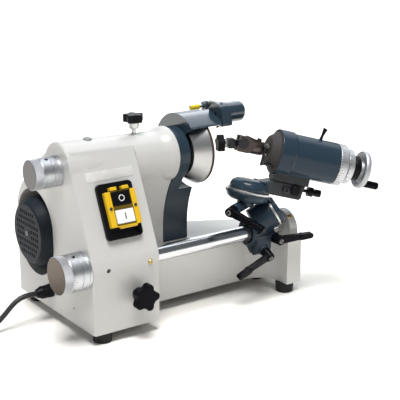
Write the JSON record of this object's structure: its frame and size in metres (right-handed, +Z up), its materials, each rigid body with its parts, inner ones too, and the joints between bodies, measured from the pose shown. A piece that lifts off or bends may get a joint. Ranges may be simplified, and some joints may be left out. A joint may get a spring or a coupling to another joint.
{
  "type": "tool and cutter grinder",
  "caption": "Bench tool and cutter grinder: cast base with motor and cup wheel, and a guide bar carrying a swivelling indexed workhead.",
  "frame": {"origin": "midpoint between the inserts of the two front feet, on the bench", "axes": "+X along the machine from the motor to the handwheel, +Y to the back, +Z up"},
  "size_m": [0.6864, 0.2777, 0.2867],
  "materials": {
    "cream_paint": "smooth enamel",
    "slate_paint": "gloss enamel",
    "grey_paint": "satin enamel",
    "chrome": "polished",
    "bright_steel": "satin turned",
    "dark_steel": "burnished",
    "aluminium": "turned",
    "index_silver": "satin",
    "abrasive": "bonded grit",
    "black_plastic": "satin",
    "yellow_plastic": "gloss",
    "white_plastic": "gloss",
    "lemon_plastic": "satin",
    "brass": "turned",
    "rubber": "matt",
    "cord_pvc": "satin"
  },
  "bodies": {
    "base": {"machine_frame": "cream_paint", "rubber_feet": "rubber", "belt_cover": "slate_paint", "wheel_hood": "slate_paint", "motor_housing": "grey_paint", "fan_cover": "slate_paint", "drive_belt": "rubber", "oil_cups": "brass", "switch_plate": "black_plastic", "switch_frame": "yellow_plastic", "cable_gland": "black_plastic", "power_cord": "cord_pvc", "cord_coil": "cord_pvc", "coil_tie": "black_plastic", "mains_plug": "black_plastic", "upper_dial_sleeve": "bright_steel", "lower_dial_sleeve": "bright_steel"},
    "quill": {"spindle_quill": "bright_steel", "spindle_bearings": "bright_steel"},
    "wheel_spindle": {"grinding_spindle": "bright_steel", "spindle_pulley": "dark_steel", "cup_wheel": "aluminium", "abrasive_rim": "abrasive", "wheel_nut": "dark_steel"},
    "rotor": {"motor_shaft": "bright_steel", "motor_pulley": "dark_steel", "cooling_fan": "black_plastic"},
    "upper_feed_dial": {"upper_dial": "bright_steel"},
    "lower_feed_dial": {"lower_dial": "bright_steel"},
    "bar": {"guide_bar": "chrome"},
    "bush": {"carriage_bush": "dark_steel"},
    "bar_carriage": {"carriage": "grey_paint", "relief_scale_ring": "bright_steel"},
    "swivel_elbow": {"elbow": "slate_paint", "taper_scale_ring": "bright_steel"},
    "head_bracket": {"swivel_arm": "grey_paint"},
    "bracket_knob": {"slide_clamp_knob": "black_plastic"},
    "bracket_stop": {"stop_screw": "black_plastic"},
    "workhead": {"workhead_housing": "slate_paint", "tooth_rest": "dark_steel"},
    "index_pawl": {"index_lever": "black_plastic"},
    "work_shaft": {"work_spindle": "bright_steel", "index_ring_large": "index_silver", "index_ring_small": "index_silver", "spindle_collar": "black_plastic", "handwheel": "aluminium", "tool_holder": "dark_steel"},
    "crank": {"crank_grip": "black_plastic"},
    "tool_swivel": {"tool_clevis": "dark_steel"},
    "tool_knob": {"tool_star_knob": "black_plastic"},
    "barrel_knob": {"barrel_clamp_knob": "black_plastic"},
    "bar_knob": {"bar_clamp_knob": "black_plastic"},
    "stop": {"stop_button": "black_plastic"},
    "start": {"start_button": "white_plastic"},
    "lug_lever": {"carriage_lever": "black_plastic"},
    "boss_lever": {"relief_lever": "black_plastic"},
    "cup_lever": {"taper_lever": "black_plastic"},
    "dresser": {"dresser_arm": "slate_paint", "diamond_rod": "bright_steel", "tip_cap": "lemon_plastic"}
  },
  "joints": [
    {"name": "upper_dial_turn", "type": "hinge", "parent": "base", "child": "upper_feed_dial", "pos_m": [-0.204, 0.073, 0.22], "axis": [1, 0, 0], "range_deg": [-722, 722]},
    {"name": "lower_dial_turn", "type": "hinge", "parent": "base", "child": "lower_feed_dial", "pos_m": [-0.204, 0.01, 0.1], "axis": [1, 0, 0], "range_deg": [-722, 722]},
    {"name": "quill_feed", "type": "slide", "parent": "base", "child": "quill", "axis": [1, 0, 0], "range_m": [-0.002, 0.002]},
    {"name": "bar_feed", "type": "slide", "parent": "base", "child": "bar", "axis": [1, 0, 0], "range_m": [-0.002, 0.002]},
    {"name": "wheel_spin", "type": "hinge", "parent": "quill", "child": "wheel_spindle", "pos_m": [0.023, 0.073, 0.22], "axis": [1, 0, 0], "continuous": true},
    {"name": "rotor_spin", "type": "hinge", "parent": "base", "child": "rotor", "pos_m": [-0.077, 0.145, 0.117], "axis": [1, 0, 0], "continuous": true},
    {"name": "carriage_slide", "type": "slide", "parent": "bar", "child": "bush", "axis": [1, 0, 0], "range_m": [-0.004, 0.001]},
    {"name": "carriage_rock", "type": "hinge", "parent": "bush", "child": "bar_carriage", "pos_m": [0.109, 0.01, 0.1], "axis": [1, 0, 0], "range_deg": [-12, 15]},
    {"name": "relief_swivel", "type": "hinge", "parent": "bar_carriage", "child": "swivel_elbow", "pos_m": [0.128, -0.0006, 0.1275], "axis": [-0.803, 0.3244, -0.5], "range_deg": [-2, 12]},
    {"name": "taper_swivel", "type": "hinge", "parent": "swivel_elbow", "child": "head_bracket", "pos_m": [0.09391, 0.01, 0.1639], "axis": [0.2756, 0, 0.9613], "range_deg": [-40, 20]},
    {"name": "head_slide", "type": "slide", "parent": "head_bracket", "child": "workhead", "axis": [0.8913, -0.3746, -0.2556], "range_m": [-0.002, 0.01]},
    {"name": "bracket_knob_turn", "type": "hinge", "parent": "head_bracket", "child": "bracket_knob", "pos_m": [0.14977, -0.02695, 0.16245], "axis": [-0.3601, -0.9272, 0.1033], "range_deg": [-90, 90]},
    {"name": "stop_screw_turn", "type": "hinge", "parent": "head_bracket", "child": "bracket_stop", "pos_m": [0.15776, -0.0151, 0.1612], "axis": [0.8913, -0.3746, -0.2556], "range_deg": [-180, 180]},
    {"name": "work_spin", "type": "hinge", "parent": "workhead", "child": "work_shaft", "pos_m": [0.16448, -0.01248, 0.20817], "axis": [0.8913, -0.3746, -0.2556], "continuous": true},
    {"name": "index_tilt", "type": "hinge", "parent": "workhead", "child": "index_pawl", "pos_m": [0.19618, -0.02296, 0.22456], "axis": [0.3601, 0.9272, -0.1033], "range_deg": [-8, 8]},
    {"name": "crank_roll", "type": "hinge", "parent": "work_shaft", "child": "crank", "pos_m": [0.26619, -0.05743, 0.15923], "axis": [0.8913, -0.3746, -0.2556], "continuous": true},
    {"name": "tool_tilt", "type": "hinge", "parent": "work_shaft", "child": "tool_swivel", "pos_m": [0.08749, 0.02011, 0.23232], "axis": [0.3601, 0.9272, -0.1033], "range_deg": [-10, 10]},
    {"name": "tool_knob_turn", "type": "hinge", "parent": "tool_swivel", "child": "tool_knob", "pos_m": [0.06755, 0.02789, 0.23265], "axis": [-0.9315, 0.3635, 0.0154], "range_deg": [-180, 180]},
    {"name": "barrel_knob_turn", "type": "hinge", "parent": "base", "child": "barrel_knob", "pos_m": [-0.0575, 0.073, 0.262], "axis": [0, 0, 1], "range_deg": [-90, 90]},
    {"name": "bar_knob_turn", "type": "hinge", "parent": "base", "child": "bar_knob", "pos_m": [-0.11, -0.015, 0.061], "axis": [0, -1, 0], "range_deg": [-90, 90]},
    {"name": "stop_press", "type": "slide", "parent": "base", "child": "stop", "axis": [0, 0.9157, -0.4019], "range_m": [0, 0.003], "stiffness_N_per_m": 400},
    {"name": "start_press", "type": "slide", "parent": "base", "child": "start", "axis": [0, 0.9157, -0.4019], "range_m": [0, 0.003], "stiffness_N_per_m": 400},
    {"name": "lug_lever_turn", "type": "hinge", "parent": "bar_carriage", "child": "lug_lever", "pos_m": [0.111, 0.003, 0.079], "axis": [0, -0.9023, -0.4311], "range_deg": [-40, 40]},
    {"name": "boss_lever_turn", "type": "hinge", "parent": "bar_carriage", "child": "boss_lever", "pos_m": [0.125, -0.013, 0.093], "axis": [0, -0.9901, -0.14], "range_deg": [-10, 40]},
    {"name": "cup_lever_turn", "type": "hinge", "parent": "swivel_elbow", "child": "cup_lever", "pos_m": [0.056, -0.00584, 0.14468], "axis": [-0.8984, -0.4392, 0], "range_deg": [-30, 30]},
    {"name": "dresser_swing", "type": "hinge", "parent": "base", "child": "dresser", "pos_m": [0.081, 0.051, 0.2707], "axis": [1, 0, 0], "range_deg": [-20, 20]}
  ],
  "couplings": [
    {"joint": "upper_dial_turn", "follows": "quill_feed", "rad_per_m": 6283.2},
    {"joint": "lower_dial_turn", "follows": "bar_feed", "rad_per_m": 6283.2},
    {"joint": "rotor_spin", "follows": "wheel_spin", "ratio": 0.54}
  ]
}
